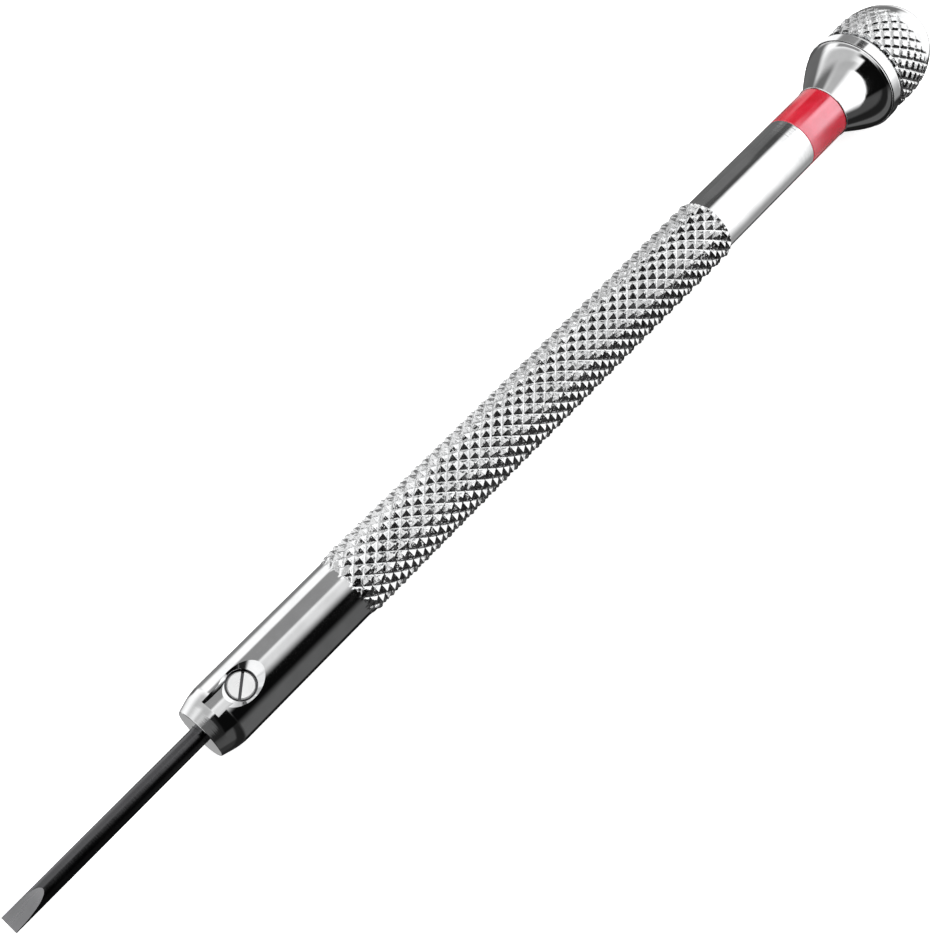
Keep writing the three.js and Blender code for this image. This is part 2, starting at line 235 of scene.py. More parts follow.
def revolve(name, along, radius, closed=False, axis="X"):
    """A mesh of revolution from arrays of ring by side. A ring of radius 0 becomes one point."""
    rings, sides = radius.shape
    angles = 2 * np.pi * (np.arange(sides) + 0.5) / sides
    y, z = radius * np.cos(angles), radius * np.sin(angles)
    grid = np.stack([along, y, z] if axis == "X" else [-z, y, along], axis=-1)
    vertices, index = [], np.zeros((rings, sides), int)
    for ring in range(rings):
        first = len(vertices)
        if radius[ring].max() < 1e-9:
            vertices.append(tuple(grid[ring, 0]))
            index[ring] = first
        else:
            vertices += [tuple(p) for p in grid[ring]]
            index[ring] = first + np.arange(sides)
    last = rings if closed else rings - 1
    faces = []
    for ring in range(last):
        here, ahead = index[ring], index[(ring + 1) % rings]
        for side in range(sides):
            nxt = (side + 1) % sides
            face = [here[side], ahead[side], ahead[nxt], here[nxt]]
            unique = list(dict.fromkeys(int(i) for i in face))
            if len(unique) > 2:
                faces.append(unique)
    return outward(new_object(name, vertices, faces))


def turned(name, outline, sides=192, closed=False, axis="X"):
    """A solid of revolution from an outline of (x, radius)."""
    points = np.array([p[:2] for p in outline], float)
    shape = (len(points), sides)
    along = np.broadcast_to(points[:, :1], shape)
    radius = np.broadcast_to(points[:, 1:], shape)
    return revolve(name, along, radius, closed, axis)


def outward(piece):
    """Turns every face outwards, by the sign of the closed mesh's volume."""
    mesh = piece.data
    mesh.calc_loop_triangles()
    co = np.empty(len(mesh.vertices) * 3)
    mesh.vertices.foreach_get("co", co)
    co = co.reshape(-1, 3)
    triangles = np.empty(len(mesh.loop_triangles) * 3, int)
    mesh.loop_triangles.foreach_get("vertices", triangles)
    a, b, c = (co[triangles.reshape(-1, 3)[:, k]] for k in range(3))
    if (a * np.cross(b, c)).sum() < 0:
        mesh.flip_normals()
    return piece


def cut(piece, *cutters):
    """Takes the cutters away from the piece."""
    for cutter in cutters:
        modifier = piece.modifiers.new("cut", "BOOLEAN")
        modifier.operation = "DIFFERENCE"
        modifier.solver = "EXACT"
        modifier.object = cutter
    graph = bpy.context.evaluated_depsgraph_get()
    mesh = bpy.data.meshes.new_from_object(piece.evaluated_get(graph))
    piece.modifiers.clear()
    piece.data = mesh
    mesh.name = piece.name
    for cutter in cutters:
        bpy.data.objects.remove(cutter)
    return piece


def box_object(name, low, high):
    spans = list(zip(low, high))
    corners = [(x, y, z) for x in spans[0] for y in spans[1] for z in spans[2]]
    faces = [(0, 1, 3, 2), (4, 6, 7, 5), (0, 4, 5, 1), (2, 3, 7, 6), (0, 2, 6, 4), (1, 5, 7, 3)]
    return outward(new_object(name, corners, faces))


def shade(piece, crease=32):
    """Smooth shading, with a crease where faces meet at more than this angle in degrees."""
    for polygon in piece.data.polygons:
        polygon.use_smooth = True
    piece.data.set_sharp_from_angle(angle=math.radians(crease))
    return piece


# ---------------------------------------------------------------- knurl

def soft_min(first, second, blend):
    """The smaller of two, with the corner between them rounded over blend."""
    share = np.clip(0.5 + 0.5 * (second - first) / blend, 0, 1)
    return second * (1 - share) + first * share - blend * share * (1 - share)


def knurl_height(around, along):
    """Height of the knurl, from KNURL_FLOOR to KNURL_TOP, where around and along count pyramids."""
    flank_blend, crest_blend, floor_blend = 0.04, 0.05, 0.03
    blunt = 0.91
    ridges = [
        soft_min(1 - 2 * np.abs(crossing - np.round(crossing)), blunt, crest_blend)
        for crossing in (along + around, along - around)
    ]
    height = soft_min(*ridges, flank_blend)
    return -soft_min(-height, -KNURL_FLOOR, floor_blend)


def knurl_field(sides, pyramids, arc_length, press, seed, phase=0.0, twist=0.0):
    """Depths by ring and side below the crests, where press is how far the knurling tool is
    pressed in, from 0 to 1. Half pressed, the pyramids keep flat tops."""
    length = np.asarray(arc_length)[:, None]
    around = pyramids * (np.arange(sides) + 0.5)[None, :] / sides + phase + twist * length
    along = length / KNURL_PITCH + KNURL_LEAD
    height = knurl_height(around, along)
    lift = (1 - np.asarray(press)[:, None]) * (KNURL_TOP - KNURL_FLOOR)
    top_blend = 0.03
    depth = -soft_min(-np.zeros_like(height), -(KNURL_TOP - height - lift), top_blend)
    return depth * KNURL_DEPTH * unevenness(around, along, pyramids, seed)


def unevenness(around, along, pyramids, seed):
    """A smooth, slightly random scale of the knurl's depth that closes round the tool."""
    random = np.random.default_rng(seed)
    scale = np.ones(np.broadcast_shapes(around.shape, along.shape))
    wave_count, wave_height = 6, 0.012
    for _ in range(wave_count):
        turns = random.integers(1, 5)
        waves = random.uniform(0.02, 0.35)
        phase = random.uniform(0, 2 * np.pi)
        scale += wave_height * np.sin(2 * np.pi * (turns * around / pyramids + waves * along) + phase)
    return scale


def eased(value):
    value = np.clip(value, 0, 1)
    return value * value * (3 - 2 * value)


# ---------------------------------------------------------------- handle

def grip_rings(sides):
    """Along and radius arrays of the knurled grip."""
    run_in = 1.1 * MM
    run_out = 0.3 * MM
    end_press = 0.45
    chamfer_slope = 0.95
    count = round((GRIP_END - GRIP_START) / KNURL_PITCH * 2 * STEPS)
    x = np.linspace(GRIP_START, GRIP_END, count + 1)
    start = np.clip((x - GRIP_START) / run_in, 0, 1)
    end = np.clip((GRIP_END - x) / run_out, 0, 1)
    press = np.minimum(start, end_press + (1 - end_press) * end)
    crest = NOSE_RADIUS + (GRIP_CREST - NOSE_RADIUS) * eased(start)
    chamfer = NECK_RADIUS + 0.02 * MM + (GRIP_END - x) * chamfer_slope
    depth = knurl_field(
        sides, GRIP_PYRAMIDS, x - GRIP_START, press, seed=3, phase=GRIP_PHASE, twist=GRIP_TWIST,
    )
    radius = np.minimum(crest[:, None] - depth, np.minimum(crest, chamfer)[:, None])
    return np.broadcast_to(x[:, None], radius.shape), radius


def handle():
    sides = GRIP_PYRAMIDS * 2 * STEPS
    grip = grip_rings(sides)
    front = rounded([
        (BORE_END, 0),
        (BORE_END, BORE_RADIUS),
        (NOSE_FACE, BORE_RADIUS, 0.03 * MM),
        (NOSE_FACE, NOSE_FACE_RADIUS, 0.06 * MM),
        (NOSE_FACE + NOSE_CHAMFER, NOSE_RADIUS, 4 * MM),
        (GRIP_START, NOSE_RADIUS),
    ], steps=14)
    front = front[:-1] + spaced(front[-2], front[-1], 40)
    back = rounded([
        (GRIP_END, NECK_RADIUS),
        (NECK_END, NECK_RADIUS, 0.04 * MM),
        (NECK_END, STUD_BORE_RADIUS, 0.03 * MM),
        (STUD_BORE_END, STUD_BORE_RADIUS),
        (STUD_BORE_END, 0),
    ])
    back = back[:1] + spaced(back[0], back[1], 20) + back[1:]
    rings = [rings_of(front, sides), grip, rings_of(back, sides)]
    along, radius = (np.concatenate([ring[k] for ring in rings]) for k in (0, 1))
    piece = cut(revolve("handle", along, radius), *pocket_cutters())
    return shade(piece, 26)


def rings_of(outline, sides):
    """Along and radius arrays of an outline turned round the axis."""
    points = np.array(outline)
    return np.repeat(points[:, :1], sides, 1), np.repeat(points[:, 1:], sides, 1)


def give_finish_or_painted_shade(piece, material, chosen):
    """Gives the faces whose centre is chosen a material of their own: a finish for the knurls and the
    blade's flats, and painted shade for the screw's slot and the relief round it.
    """
    piece.data.materials.append(material)
    for polygon in piece.data.polygons:
        if chosen(*polygon.center):
            polygon.material_index = len(piece.data.materials) - 1


def in_grip_knurl(x, y, z):
    return GRIP_START < x < GRIP_END


def in_cap_knurl(x, y, z):
    return CAP_FRONT < x < CAP_KNURL_END


# Faces of the relief round the set screw, painted black: painted shade of the narrow gap, partly also
# the dark, unplated bottom of the threaded hole
def in_relief(x, y, z):
    return math.hypot(x - SCREW_X, y) < RELIEF_RADIUS + 0.02 * MM and 0 < z < RELIEF_FLOOR + 0.2 * MM


# Faces inside the screw's slot, painted black as painted shade; the slot is the screw's own steel
def in_slot(x, y, z):
    across = abs((x - SCREW_X) * math.sin(SLOT_ANGLE) - y * math.cos(SLOT_ANGLE))
    return across < SLOT_WIDTH / 2 + 0.001 * MM and z < SCREW_TOP - 0.01 * MM


def on_flat(x, y, z):
    return x < GRIND_LENGTH and math.hypot(y, z) < BLADE_RADIUS - 0.006 * MM


def pocket_cutters():
    """The threaded hole, its relief and conical pocket, and the notch in front of them."""
    above = NOSE_RADIUS + 0.6 * MM
    slope = math.tan(POCKET_HALF_ANGLE)
    cone_floor = NOSE_RADIUS - (POCKET_HALF_LENGTH - RELIEF_RADIUS) / slope
    top_radius = POCKET_HALF_LENGTH + (above - NOSE_RADIUS) * slope
    drill = turned("drill", rounded([
        (0, 0),
        (0, SCREW_RADIUS + 0.02 * MM),
        (RELIEF_FLOOR, SCREW_RADIUS + 0.02 * MM),
        (RELIEF_FLOOR, RELIEF_RADIUS),
        (cone_floor, RELIEF_RADIUS, 0.04 * MM),
        (above, top_radius),
        (above, 0),
    ]), sides=160, axis="Z")
    drill.data.transform(Matrix.Translation((SCREW_X, 0, 0)))
    notch = box_object(
        "notch",
        (NOTCH_FRONT, NOTCH_OFFSET - NOTCH_WIDTH / 2, 0),
        (SCREW_X, NOTCH_OFFSET + NOTCH_WIDTH / 2, above),
    )
    core = turned("core", [(0, 0), (0, NOTCH_FLOOR), (2 * SCREW_X, NOTCH_FLOOR), (2 * SCREW_X, 0)])
    return drill, cut(notch, core)


# ---------------------------------------------------------------- blade and set screw

def blade():
    body = turned("drive_blade", rounded([
        (0, 0),
        (0, BLADE_RADIUS, 0.02 * MM),
        *spaced((0, BLADE_RADIUS), (4 * MM, BLADE_RADIUS), 60),
        (BLADE_END, BLADE_RADIUS, 0.15 * MM),
        (BLADE_END, 0),
    ]), sides=160)
    return shade(cut(body, grinding_wheel(1), grinding_wheel(-1)), 12)


def grinding_wheel(side):
    """The wheel that hollow-grinds one flat: a disc about Y through both ends of the flat."""
    low, high = np.array([0, EDGE_HALF]), np.array([GRIND_LENGTH, BLADE_RADIUS])
    chord = high - low
    length = np.linalg.norm(chord)
    outward_normal = np.array([-chord[1], chord[0]]) / length
    reach = math.sqrt(WHEEL_RADIUS ** 2 - (length / 2) ** 2)
    x, z = (low + high) / 2 + outward_normal * reach
    half_width = 2 * BLADE_RADIUS
    wheel = turned("wheel", [
        (-half_width, 0), (-half_width, WHEEL_RADIUS), (half_width, WHEEL_RADIUS), (half_width, 0),
    ], sides=1440)
    wheel.data.transform(Matrix.Rotation(math.pi / 2, 4, "Z"))
    wheel.data.transform(Matrix.Translation((x, 0, z * side)))
    return wheel


def set_screw():
    body = turned("clamp_screw", rounded([
        (SCREW_BOTTOM, 0),
        (SCREW_BOTTOM, SCREW_RADIUS - 0.3 * MM, 0.03 * MM),
        (SCREW_BOTTOM + 0.3 * MM, SCREW_RADIUS, 0.03 * MM),
        (SCREW_TOP - 0.09 * MM, SCREW_RADIUS, 0.03 * MM),
        (SCREW_TOP, SCREW_RADIUS - 0.08 * MM, 0.03 * MM),
        (SCREW_TOP, 0),
    ]), sides=128, axis="Z")
    body.data.transform(Matrix.Translation((SCREW_X, 0, 0)))
    slot = box_object(
        "slot",
        (-2 * SCREW_RADIUS, -SLOT_WIDTH / 2, -SLOT_DEPTH),
        (2 * SCREW_RADIUS, SLOT_WIDTH / 2, SLOT_DEPTH),
    )
    slot.data.transform(Matrix.Rotation(SLOT_ANGLE, 4, "Z"))
    slot.data.transform(Matrix.Translation((SCREW_X, 0, SCREW_TOP)))
    return shade(cut(body, slot), 40)


# ---------------------------------------------------------------- ring, bell and cap

def size_ring():
    inner = RING_SEAT_RADIUS + 0.02 * MM
    edge = 0.05 * MM
    start, end = RING_LOW.x, RING_HIGH.x
    section = rounded([
        (start, (inner + NECK_RADIUS) / 2),
        (start, NECK_RADIUS, edge),
        *spaced((start, NECK_RADIUS), (end, NECK_RADIUS), 6),
        (end, NECK_RADIUS, edge),
        (end, inner, edge),
        (start, inner, edge),
        (start, (inner + NECK_RADIUS) / 2),
    ])
    return shade(turned("size_ring", section[:-1], closed=True))


def bell_flare(x):
    """The bell's radius where it flares: straight at first, then turning over towards its rim."""
    still_rising = 0.26 * MM
    reach = BELL_FLARE_SLOPE * (BELL_SHOULDER_END + still_rising - x)
    return BELL_BODY_RADIUS + BELL_SHOULDER_ROUND - math.hypot(BELL_SHOULDER_ROUND, reach)


def bell():
    foot_end = BELL_START + BELL_FOOT_LAND
    flare = [(x, bell_flare(x)) for x in np.linspace(foot_end, BELL_SHOULDER_END, 64)]
    band = BELL_SHOULDER_END + 0.05 * MM
    outline = rounded([
        (STUD_START, 0),
        (STUD_START, STUD_RADIUS, 0.12 * MM),
        (RING_SEAT_START, STUD_RADIUS),
        (RING_SEAT_START, RING_SEAT_RADIUS, 0.02 * MM),
        (BELL_START, RING_SEAT_RADIUS),
        (BELL_START, BELL_FOOT_RADIUS - 0.07 * MM, 0.03 * MM),
        (BELL_START + 0.06 * MM, BELL_FOOT_RADIUS, 0.04 * MM),
        *flare,
        (BELL_SHOULDER_END + 0.02 * MM, BELL_BODY_RADIUS - 0.03 * MM),
        (band, BELL_RIM_RADIUS - 0.005 * MM, 0.02 * MM),
        (BELL_END - 0.28 * MM, BELL_RIM_RADIUS - 0.012 * MM, 0.2 * MM),
        (BELL_END, BELL_RIM_RADIUS - 0.22 * MM, 0.12 * MM),
        (BELL_END, BELL_SEAT_RADIUS, 0.06 * MM),
        (BELL_SEAT_FLOOR, BELL_SEAT_RADIUS),
        (BELL_SEAT_FLOOR, BELL_POCKET_RADIUS),
        (BELL_POCKET_START, BELL_POCKET_RADIUS),
        (BELL_POCKET_START, 0),
    ], steps=6)
    return shade(turned("bell", outline, sides=256), 30)


def cap_profile(x):
    """The cap's radius and outward normal at places along the axis."""
    half = np.where(x < CAP_WIDEST, CAP_FRONT_HALF_LENGTH, CAP_REAR_HALF_LENGTH)
    share = (x - CAP_WIDEST) / half
    radius = CAP_RADIUS * np.sqrt(np.maximum(0, 1 - share ** 2))
    normal = np.stack([share / half, radius / CAP_RADIUS ** 2])
    return radius, normal / np.linalg.norm(normal, axis=0)


def cap_rings(sides):
    """Along and radius arrays of the cap's knurl and smooth end."""
    fade = 0.75 * MM
    start = CAP_FRONT + 0.12 * MM
    knurl_x = np.arange(start, CAP_KNURL_END, KNURL_PITCH / (2 * STEPS))
    first = math.asin((knurl_x[-1] - CAP_WIDEST) / CAP_REAR_HALF_LENGTH)
    angles = first + (math.pi / 2 - first) * np.arange(1, 41) / 40
    x = np.concatenate([knurl_x, CAP_WIDEST + CAP_REAR_HALF_LENGTH * np.sin(angles)])
    radius, normal = cap_profile(x)
    radius[-1] = 0
    steps = np.hypot(np.diff(x), np.diff(radius))
    length = np.concatenate([[0], np.cumsum(steps)])
    press = CAP_PRESS * np.clip((CAP_KNURL_END - x) / fade, 0, 1)
    depth = knurl_field(sides, CAP_PYRAMIDS, length, press, seed=5)
    depth[-1] = 0
    return x[:, None] - normal[0][:, None] * depth, radius[:, None] - normal[1][:, None] * depth


def finger_cap():
    sides = CAP_PYRAMIDS * 2 * STEPS
    along, radius = cap_rings(sides)
    inside = rings_of(rounded([
        (STEM_HOLE_END, 0),
        (STEM_HOLE_END, STEM_HOLE_RADIUS),
        (STEM_START, STEM_HOLE_RADIUS, 0.03 * MM),
        (STEM_START, STEM_RADIUS, 0.05 * MM),
        (BOSS_FACE, STEM_RADIUS),
        (BOSS_FACE, BOSS_RADIUS, 0.03 * MM),
        (CAP_FRONT, BOSS_RADIUS),
        (CAP_FRONT, CAP_FRONT_RADIUS),
    ]), sides)
    along = np.concatenate([inside[0], along])
    radius = np.concatenate([inside[1], radius])
    return shade(revolve("finger_cap", along, radius), 38)


# ---------------------------------------------------------------- bearing

def box_span(node):
    low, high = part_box(node)
    return low.x, high.x, high.y


def bearing_rings():
    start, end, outer_radius = box_span("bearing_outer_ring")
    inner_radius = box_span("bearing_inner_ring")[2]
    outer_land = 2.08 * MM
    recess_radius = 2.23 * MM
    recess = 0.2 * MM
    open_angle = math.degrees(math.acos((outer_land - PITCH_RADIUS) / GROOVE_RADIUS))
    groove = arc(BEARING_MIDDLE, PITCH_RADIUS, GROOVE_RADIUS, 90 - open_angle, 90 + open_angle, 16)
    outer = rounded([
        (start, (recess_radius + outer_radius) / 2),
        (start, outer_radius, 0.1 * MM),
        (end, outer_radius, 0.1 * MM),
        (end, recess_radius),
        (end - recess, recess_radius),
        (end - recess, outer_land),
        *groove,
        (start + recess, outer_land),
        (start + recess, recess_radius),
        (start, recess_radius),
        (start, (recess_radius + outer_radius) / 2),
    ])
    open_angle = math.degrees(math.acos((PITCH_RADIUS - inner_radius) / GROOVE_RADIUS))
    groove = arc(BEARING_MIDDLE, PITCH_RADIUS, GROOVE_RADIUS, 270 - open_angle, 270 + open_angle, 16)
    bore = 1.0 * MM
    inner = rounded([
        (start, (bore + inner_radius) / 2),
        (start, inner_radius, 0.04 * MM),
        *groove,
        (end, inner_radius, 0.04 * MM),
        (end, bore, 0.08 * MM),
        (start, bore, 0.08 * MM),
        (start, (bore + inner_radius) / 2),
    ])
    return (
        shade(turned("outer_race", outer[:-1], closed=True)),
        shade(turned("inner_race", inner[:-1], closed=True)),
    )


def globe(name, number, radius, sides):
    """A ball of this radius where the numbered ball of the bearing is."""
    steps = 24
    angles = np.pi * np.arange(steps + 1) / steps
    outline = [(-radius * math.cos(a), radius * math.sin(a)) for a in angles]
    outline[0], outline[-1] = (-radius, 0), (radius, 0)
    piece = turned(name, outline, sides=sides)
    low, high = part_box(f"bearing_ball_{number}")
    piece.data.transform(Matrix.Translation((low + high) / 2))
    return piece


def ball(number):
    return shade(globe(f"ball_{number}", number, BALL_RADIUS, sides=48), 60)


def plain_ring(name, node, inner, edge):
    """A flat ring with rounded edges that fills its node's length and diameter."""
    start, end, outer = box_span(node)
    middle = (inner + outer) / 2
    return turned(name, rounded([
        (start, middle),
        (start, outer, edge),
        (end, outer, edge),
        (end, inner, edge),
        (start, inner, edge),
        (start, middle),
    ])[:-1], closed=True)


def ball_cage():
    ring = plain_ring("cage", "ball_cage", 1.51 * MM, 0.03 * MM)
    pocket_radius = BALL_RADIUS + 0.03 * MM
    pockets = [
        globe("pocket", number, pocket_radius, sides=32) for number in range(1, BALL_COUNT + 1)
    ]
    return shade(cut(ring, *pockets), 40)


def flat_ring(name, node, inner):
    return shade(plain_ring(name, node, inner, 0.02 * MM))


def retaining_screw():
    start, end, head_radius = box_span("retaining_screw")
    head_back = start + 0.5 * MM
    shank = 0.47 * MM
    body = turned("stem_screw", rounded([
        (start, 0),
        (start, head_radius, 0.08 * MM),
        (head_back, head_radius, 0.03 * MM),
        (head_back, shank),
        (end, shank, 0.08 * MM),
        (end, 0),
    ]), sides=96)
    slot = box_object(
        "slot",
        (start - 0.5 * MM, -2 * head_radius, -0.15 * MM),
        (start + 0.25 * MM, 2 * head_radius, 0.15 * MM),
    )
    return shade(cut(body, slot), 40)


# ---------------------------------------------------------------- materials

def nodes_of(material):
    material.use_nodes = True
    tree = material.node_tree
    return tree, tree.nodes["Principled BSDF"]


def add_node(tree, kind, **values):
    node = tree.nodes.new(kind)
    for key, value in values.items():
        if key in node.inputs:
            node.inputs[key].default_value = value
        else:
            setattr(node, key, value)
    return node


def place(tree, scale):
    """Object coordinates, scaled, so that marks can be drawn out along or across the axis."""
    coordinate = add_node(tree, "ShaderNodeTexCoord")
    mapping = add_node(tree, "ShaderNodeMapping")
    mapping.inputs["Scale"].default_value = scale
    tree.links.new(coordinate.outputs["Object"], mapping.inputs["Vector"])
    return mapping.outputs["Vector"]


def noise(tree, scale, detail=3.0, roughness=0.5):
    node = add_node(tree, "ShaderNodeTexNoise", Detail=detail, Roughness=roughness, Scale=1.0)
    tree.links.new(place(tree, scale), node.inputs["Vector"])
    return node.outputs["Fac"]


def remap(tree, value, start, end, low, high, kind="LINEAR"):
    """A value that goes from start to end, turned into one that goes from low to high."""
    node = add_node(tree, "ShaderNodeMapRange", interpolation_type=kind)
    for key, number in zip(("From Min", "From Max", "To Min", "To Max"), (start, end, low, high)):
        node.inputs[key].default_value = number
    tree.links.new(value, node.inputs["Value"])
    return node.outputs["Result"]


def spread(tree, value, low, high):
    """A noise, whose values are mostly from 0.35 to 0.65, spread from low to high."""
    return remap(tree, value, 0.35, 0.65, low, high)


def cloudy_colour(tree, shader, dark, light, scale):
    tint = add_node(tree, "ShaderNodeMix", data_type="RGBA")
    tint.inputs[6].default_value = (*dark, 1)
    tint.inputs[7].default_value = (*light, 1)
    tree.links.new(spread(tree, noise(tree, (scale, scale, scale), 4), 0, 1), tint.inputs[0])
    tree.links.new(tint.outputs[2], shader.inputs["Base Color"])


def smeared_roughness(tree, shader, low, high, scale):
    smear = noise(tree, scale, 5, 0.6)
    tree.links.new(spread(tree, smear, low, high), shader.inputs["Roughness"])


def bump(tree, shader, height, distance, strength=1.0, normal=None):
    node = add_node(tree, "ShaderNodeBump", Strength=strength, Distance=distance)
    tree.links.new(height, node.inputs["Height"])
    if normal is not None:
        tree.links.new(normal, node.inputs["Normal"])
    tree.links.new(node.outputs["Normal"], shader.inputs["Normal"])
    return node.outputs["Normal"]


def metal(
    name, colour, rough, turning, grain=(9000, 400, 400), variation=0.04, bare=1.0,
    dent_scale=2500, dent_depth=None,
):
    """Polished or turned metal: colour and roughness that wander, faint turning lines along the
    grain, and small dents. Where bare is less than 1, a dull film scatters the rest of the light."""
    material = bpy.data.materials.new(name)
    tree, shader = nodes_of(material)
    shader.inputs["Metallic"].default_value = bare
    cloudy_colour(tree, shader, [c * 0.9 for c in colour], colour, 700)
    smeared_roughness(tree, shader, rough - variation, rough + variation, (250, 1600, 1600))
    first = bump(tree, shader, noise(tree, grain, 2), turning)
    dents = noise(tree, (dent_scale, dent_scale, dent_scale), 2)
    bump(tree, shader, dents, dent_depth or turning * 0.5, normal=first)
    return material


def red_lacquer():
    """Deep red under a thick, clear and strongly reflecting lacquer."""
    material = bpy.data.materials.new("red_lacquer")
    tree, shader = nodes_of(material)
    cloudy_colour(tree, shader, (0.62, 0.006, 0.02), (0.72, 0.012, 0.035), 900)
    smeared_roughness(tree, shader, 0.06, 0.12, (500, 2400, 2400))
    shader.inputs["IOR"].default_value = 2.1
    shader.inputs["Specular Tint"].default_value = (1.0, 0.8, 1.0, 1)
    shader.inputs["Coat Weight"].default_value = 1.0
    shader.inputs["Coat IOR"].default_value = 1.7
    shader.inputs["Coat Roughness"].default_value = 0.05
    bump(tree, shader, noise(tree, (1500, 5000, 5000), 2), 0.001 * MM)
    return material


def paint(piece, material):
    piece.data.materials.clear()
    piece.data.materials.append(material)


# ---------------------------------------------------------------- stage

def floor(material):
    """A pale floor that the bell's rim and the nose's corner rest on."""
    rest_x = (BELL_END - 0.4 * MM, NOSE_FACE + NOSE_CHAMFER)
    rest_z = (-BELL_RIM_RADIUS, -NOSE_RADIUS)
    slope = (rest_z[1] - rest_z[0]) / (rest_x[1] - rest_x[0])
    gap = 0.01 * MM
    half = 1.5
    corners = [
        (x, y, rest_z[0] + (x - rest_x[0]) * slope - gap)
        for x, y in ((-half, -half), (half, -half), (half, half), (-half, half))
    ]
    plane = new_object("floor", corners, [(0, 1, 2, 3)])
    paint(plane, material)
    plane.visible_glossy = False


def floor_material():
    material = bpy.data.materials.new("floor_paint")
    shader = nodes_of(material)[1]
    shader.inputs["Base Color"].default_value = (0.92, 0.92, 0.92, 1)
    shader.inputs["Roughness"].default_value = 0.9
    shader.inputs["Specular IOR Level"].default_value = 0.0
    shader.inputs["Emission Color"].default_value = (1, 1, 1, 1)
    shader.inputs["Emission Strength"].default_value = 0.8
    return material


def view_directions():
    """The direction square to the tool's axis that faces the camera, and the one across both."""
    to_camera = Vector((0, -math.sin(VIEW_SIDE), math.cos(VIEW_SIDE)))
    across = Vector((0, -math.cos(VIEW_SIDE), -math.sin(VIEW_SIDE)))
    return to_camera, across


def camera():
    """The camera looks down at the tool's axis from above the nose, at the picture's diagonal."""
    towards, side = view_directions()
    axis = Vector((1, 0, 0))
    forward = axis * math.sin(VIEW_TILT) - towards * math.cos(VIEW_TILT)
    slant = axis * math.cos(VIEW_TILT) + towards * math.sin(VIEW_TILT)
    right = slant * math.cos(VIEW_ROLL) + side * math.sin(VIEW_ROLL)
    up = slant * math.sin(VIEW_ROLL) - side * math.cos(VIEW_ROLL)
    place_at = axis * VIEW_AIM - forward * VIEW_DISTANCE
    data = bpy.data.cameras.new("camera")
    data.lens = VIEW_LENS
    data.sensor_width = 36
    data.clip_start = 5 * MM
    data.clip_end = 10
    made = bpy.data.objects.new("camera", data)
    turn = Matrix((right, up, -forward)).transposed()
    made.matrix_world = Matrix.Translation(place_at) @ turn.to_4x4()
    bpy.context.scene.collection.objects.link(made)
    bpy.context.scene.camera = made


def lamp():
    """A broad soft lamp over the tool for the floor and the dull surfaces."""
    data = bpy.data.lights.new("softbox", "AREA")
    data.shape = "RECTANGLE"
    data.size, data.size_y = LAMP_WIDTH, LAMP_WIDTH
    data.energy = LAMP_POWER
    made = bpy.data.objects.new("softbox", data)
    made.location = LAMP_PLACE
    direction = Vector((VIEW_AIM, 0, 0)) - made.location
    made.rotation_euler = direction.to_track_quat("-Z", "Y").to_euler()
    made.visible_glossy = False
    bpy.context.scene.collection.objects.link(made)


# A light tent round the tool: bright on one side of a slanted, soft edge and dim on the other.
# TENT_EDGE points to the bright side, along the axis, to the camera's place and across it, and
# TENT_FADE is how far to that side of the tool the light starts to rise and is full.
TENT_EDGE = (0.763, 0.252, -0.595)
TENT_FADE = (-0.12, 0.30)
TENT_BRIGHT = 1.5
TENT_DIM = 0.015
# Cards on the tent. Each spans an angle round the tool's axis, from the side that faces the
# camera's place, and an angle along it towards the cap, in degrees: (from, to, softness) round,
# (from, to, softness) along, brightness.
TENT_CARDS = [
    ((-200, -66, 44), (18, 60, 8), 0.88),
    ((-150, -84, 20), (44, 74, 8), 0.25),
    ((56, 160, 26), (-20, 5, 8), 0.10),
    ((106, 165, 12), (-14, 14, 6), 0.045),
    ((128, 200, 14), (24, 32, 4), 0.01),
    ((88, 200, 20), (-28, -18, 3), 0.12),
    ((-70, -14, 6), (-42, -20, 5), 1.2),
    ((-15, 62, 7), (-42, -16, 6), 0.02),
    ((-100, -30, 30), (-18, 4, 10), 0.75),
    ((-62, 24, 18), (17, 34, 5), 1.6),
    ((-200, -134, 12), (2, 50, 4), 0.12),
    ((-200, -150, 20), (-16, 5, 8), 0.5),
    ((168, 200, 12), (-30, 5, 8), 0.5),
    ((-200, -44, 30), (-28, -21, 4), 1.3),
    # seen by the far wall of the screw's pocket
    ((-100, 12, 16), (-66, -42, 8), 1.4),
    # seen by the blade
    ((-30, 150, 16), (-4, 6, 4), 0.02),
    # seen by the nose and its chamfer
    ((-200, -104, 20), (7, 17.5, 3), 0.30),
    ((-124, -85, 22), (7, 17.5, 3), 1.5),
    ((-84, -33, 10), (7, 17.5, 3), 0.37),
    ((30, 137, 10), (7, 17.5, 3), 0.15),
    ((-28, 20, 24), (7, 17.5, 3), 1.0),
    ((8, 66, 30), (6, 18.5, 3), 0.004),
    ((139, 176, 8), (7, 17.5, 3), 0.01),
    ((-40, 190, 40), (-26, -23.4, 1.6), 0.17),
    # seen by the shoulder and the flare of the bell
    ((-14, 58, 6), (-18, 6, 2), 0.004),
    ((-57, -22, 20), (-23, -12, 3), 0.65),
    # seen by the neck
    ((-152, -41, 20), (31.5, 38, 2), 0.18),
    ((-72, -48, 12), (31.5, 38, 2), 0.09),
    ((-41, 200, 20), (31.5, 38, 2), 1.6),
    ((-41, 60, 12), (38, 60, 3), 1.6),
    ((92, 200, 56), (31.5, 46, 3), 0.42),
    ((147, 200, 8), (31.5, 46, 3), 0.01),
    ((116, 200, 14), (39.5, 54, 4), 0.01),
    # seen by the ring
    ((-160, -88, 20), (37.9, 39.8, 0.6), 0.6),
    ((-88, -22, 10), (37.9, 39.8, 0.6), 0.04),
    ((-20, 48, 18), (37.9, 39.8, 0.6), 2.9),
    ((60, 180, 30), (37.9, 39.8, 0.6), 0.15),
    # seen by the rim of the bell
    ((-57, -36, 6), (40.2, 42.5, 0.6), 0.07),
    ((-105, -57, 14), (40.2, 42.5, 0.6), 0.36),
    ((-200, -108, 10), (40.2, 42.5, 0.6), 1.5),
]
